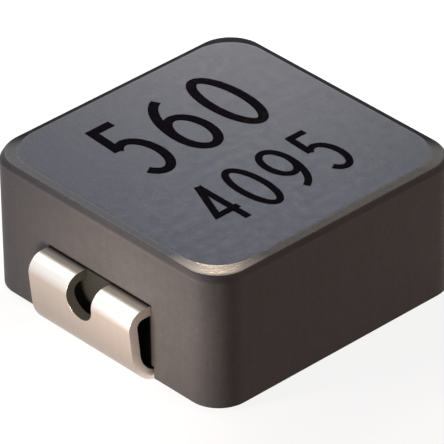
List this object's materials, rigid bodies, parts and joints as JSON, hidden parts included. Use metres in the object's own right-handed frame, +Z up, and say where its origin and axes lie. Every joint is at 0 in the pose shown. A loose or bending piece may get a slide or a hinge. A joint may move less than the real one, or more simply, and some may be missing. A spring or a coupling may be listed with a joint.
{
  "type": "shielded smd inductor",
  "caption": "Moulded square power inductor for surface mounting, with folded strip terminals that turn in under the block as solder pads.",
  "frame": {"origin": "centre of the seating plane, under the middle of the block, at the height of the undersides of the two pads", "axes": "+X from the start terminal to the finish terminal, +Y along the terminals' width, +Z up, away from the board"},
  "size_m": [0.0078, 0.0066, 0.0032],
  "materials": {
    "powder": "satin",
    "tinned": "satin",
    "copper": "satin"
  },
  "bodies": {
    "root": {"core": "powder", "coil": "copper", "start_terminal": "tinned", "finish_terminal": "tinned"}
  },
  "joints": []
}
